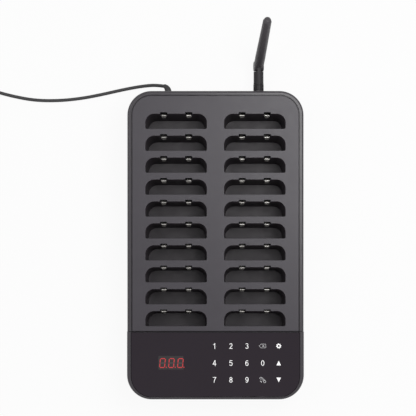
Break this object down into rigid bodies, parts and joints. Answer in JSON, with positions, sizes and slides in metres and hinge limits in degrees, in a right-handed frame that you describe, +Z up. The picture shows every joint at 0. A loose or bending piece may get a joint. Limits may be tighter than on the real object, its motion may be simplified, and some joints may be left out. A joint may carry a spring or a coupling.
{
  "type": "guest pager charging base",
  "caption": "Counter-top base that charges guest pagers in leaning slots and calls them from a touch keypad through a folding antenna.",
  "frame": {"origin": "centre of the base's footprint with its raised antenna, on the counter under the rubber feet", "axes": "+X to the right and +Y to the rear, as the keypad is read, +Z up"},
  "size_m": [0.3548, 0.3533, 0.072],
  "materials": {
    "shell_plastic": "satin dark grey moulded ABS with a fine grain",
    "deck_plastic": "satin dark grey moulded ABS with a fine grain",
    "panel_acrylic": "glossy near-black acrylic with printed key legends",
    "display_epoxy": "dark epoxy with red seven-segment digits",
    "board_laminate": "green solder mask on glass-epoxy laminate",
    "component_plastic": "black moulded component bodies",
    "shield_steel": "tinned steel shield can",
    "contact_nickel": "nickel-plated spring strip",
    "screw_steel": "zinc-plated steel",
    "foot_rubber": "soft black rubber",
    "jack_brass": "gold-plated brass",
    "collar_plastic": "black satin polyurethane over the antenna",
    "pin_steel": "steel pin",
    "rocker_plastic": "black moulded rocker",
    "lead_jacket": "black flexible PVC",
    "adapter_plastic": "black textured polycarbonate",
    "blade_brass": "nickel-plated brass blades"
  },
  "bodies": {
    "base": {"base_shell": "shell_plastic", "upper_frame": "shell_plastic", "front_cover": "shell_plastic", "switch_case": "shell_plastic", "charging_deck": "deck_plastic", "pager_pocket_01": "deck_plastic", "pager_pocket_02": "deck_plastic", "pager_pocket_03": "deck_plastic", "pager_pocket_04": "deck_plastic", "pager_pocket_05": "deck_plastic", "pager_pocket_06": "deck_plastic", "pager_pocket_07": "deck_plastic", "pager_pocket_08": "deck_plastic", "pager_pocket_09": "deck_plastic", "pager_pocket_10": "deck_plastic", "pager_pocket_11": "deck_plastic", "pager_pocket_12": "deck_plastic", "pager_pocket_13": "deck_plastic", "pager_pocket_14": "deck_plastic", "pager_pocket_15": "deck_plastic", "pager_pocket_16": "deck_plastic", "pager_pocket_17": "deck_plastic", "pager_pocket_18": "deck_plastic", "pager_pocket_19": "deck_plastic", "pager_pocket_20": "deck_plastic", "keypad_panel": "panel_acrylic", "led_display": "display_epoxy", "charging_board_left": "board_laminate", "charging_board_right": "board_laminate", "control_board": "board_laminate", "touch_board": "board_laminate", "board_header": "component_plastic", "microcontroller": "component_plastic", "harness_connector": "component_plastic", "power_jack": "component_plastic", "buzzer": "component_plastic", "radio_module": "shield_steel", "charging_contacts_left": "contact_nickel", "charging_contacts_right": "contact_nickel", "case_screws": "screw_steel", "control_board_screws": "screw_steel", "charging_board_screws": "screw_steel", "rubber_feet": "foot_rubber", "antenna_jack": "jack_brass", "jack_washer": "jack_brass", "jack_nut": "jack_brass", "antenna_pigtail": "lead_jacket", "power_harness": "lead_jacket", "power_cord": "lead_jacket", "cord_coil": "lead_jacket", "cord_tail": "lead_jacket", "dc_plug": "lead_jacket", "power_adapter": "adapter_plastic", "adapter_pins": "blade_brass"},
    "antenna_collar": {"antenna_collar": "collar_plastic"},
    "antenna_hinge": {"antenna_base": "collar_plastic", "antenna_pin": "pin_steel"},
    "antenna_whip": {"antenna_whip": "collar_plastic"},
    "power_rocker": {"switch_rocker": "rocker_plastic"}
  },
  "joints": [
    {"name": "collar_turn", "type": "hinge", "parent": "base", "child": "antenna_collar", "pos_m": [0.0411, 0.11045, 0.016], "axis": [0, 1, 0], "continuous": true},
    {"name": "antenna_swivel", "type": "hinge", "parent": "base", "child": "antenna_hinge", "pos_m": [0.0411, 0.11045, 0.016], "axis": [0, 1, 0], "range_deg": [-96.9, 83.1]},
    {"name": "antenna_elbow", "type": "hinge", "parent": "antenna_hinge", "child": "antenna_whip", "pos_m": [0.0411, 0.13595, 0.016], "axis": [0.9928, 0, -0.1201], "range_deg": [-55, 35]},
    {"name": "power_rocker", "type": "hinge", "parent": "base", "child": "power_rocker", "pos_m": [0, 0.10725, 0.016], "axis": [0, 0, 1], "range_deg": [-14, 0]}
  ]
}
